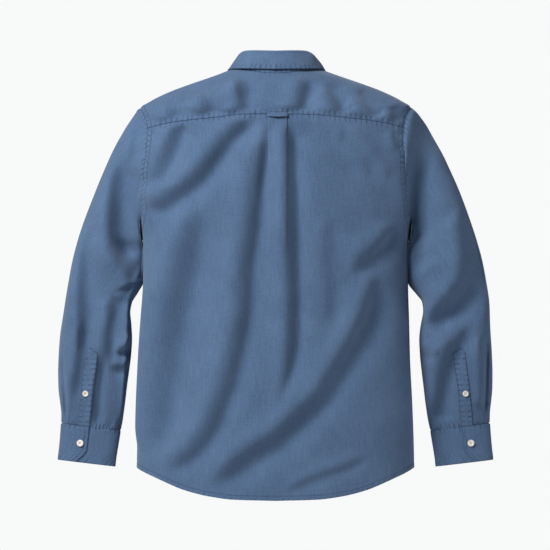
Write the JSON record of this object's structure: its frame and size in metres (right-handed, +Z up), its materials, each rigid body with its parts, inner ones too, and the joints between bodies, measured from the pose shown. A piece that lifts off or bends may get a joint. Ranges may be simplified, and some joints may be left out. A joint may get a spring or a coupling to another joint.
{
  "type": "button-up shirt",
  "caption": "Long-sleeved button-up shirt with a folded collar, back yoke, box pleat, locker loop and buttoned cuffs, filled out and hollow.",
  "frame": {"origin": "middle of the neck at the base of the collar, between the shoulders, where the shirt is held when worn", "axes": "+Z up, -Y towards the buttoned front, +X towards the wearer's left"},
  "size_m": [0.7892, 0.2307, 0.8161],
  "materials": {
    "chambray": "soft blue cotton chambray with a fine mottled weave and a slight sheen",
    "button": "off-white, satin, four holes"
  },
  "bodies": {
    "root": {"back": "chambray", "yoke": "chambray", "front_left": "chambray", "front_right": "chambray", "front_placket": "chambray", "collar_stand": "chambray", "collar_leaf": "chambray", "sleeve_left": "chambray", "sleeve_right": "chambray", "sleeve_placket_left": "chambray", "sleeve_placket_right": "chambray", "cuff_left": "chambray", "cuff_right": "chambray", "locker_loop": "chambray", "collar_button": "button", "front_button_1": "button", "front_button_2": "button", "front_button_3": "button", "front_button_4": "button", "front_button_5": "button", "front_button_6": "button", "sleeve_button_left": "button", "sleeve_button_right": "button", "cuff_button_left": "button", "cuff_button_right": "button"}
  },
  "joints": []
}
